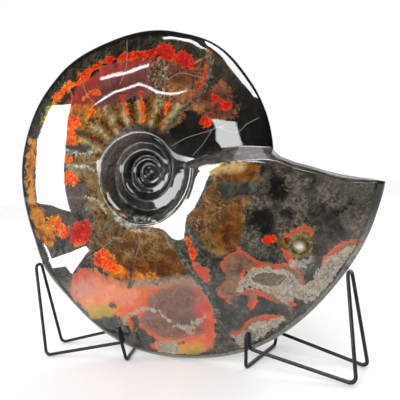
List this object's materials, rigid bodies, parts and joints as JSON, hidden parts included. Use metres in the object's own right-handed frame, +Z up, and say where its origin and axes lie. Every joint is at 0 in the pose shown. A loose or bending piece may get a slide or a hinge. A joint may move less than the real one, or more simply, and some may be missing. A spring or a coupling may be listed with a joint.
{
  "type": "craspedodiscus ammonite",
  "caption": "polished ammonite fossil with a closed mouth edge and a coiled umbilicus, held upright by a pair of bent black wire stands",
  "frame": {"origin": "on the floor under the middle of the whole object's box", "axes": "+X towards the mouth's tip along the disc, +Y from the front face to the back face, +Z up"},
  "size_m": [0.2998, 0.0702, 0.261],
  "materials": {
    "fossil": "high polish, red and brown mother-of-pearl over dark stone",
    "wire": "satin black"
  },
  "bodies": {
    "root": {"ammonite": "fossil", "left_stand": "wire", "right_stand": "wire"}
  },
  "joints": []
}
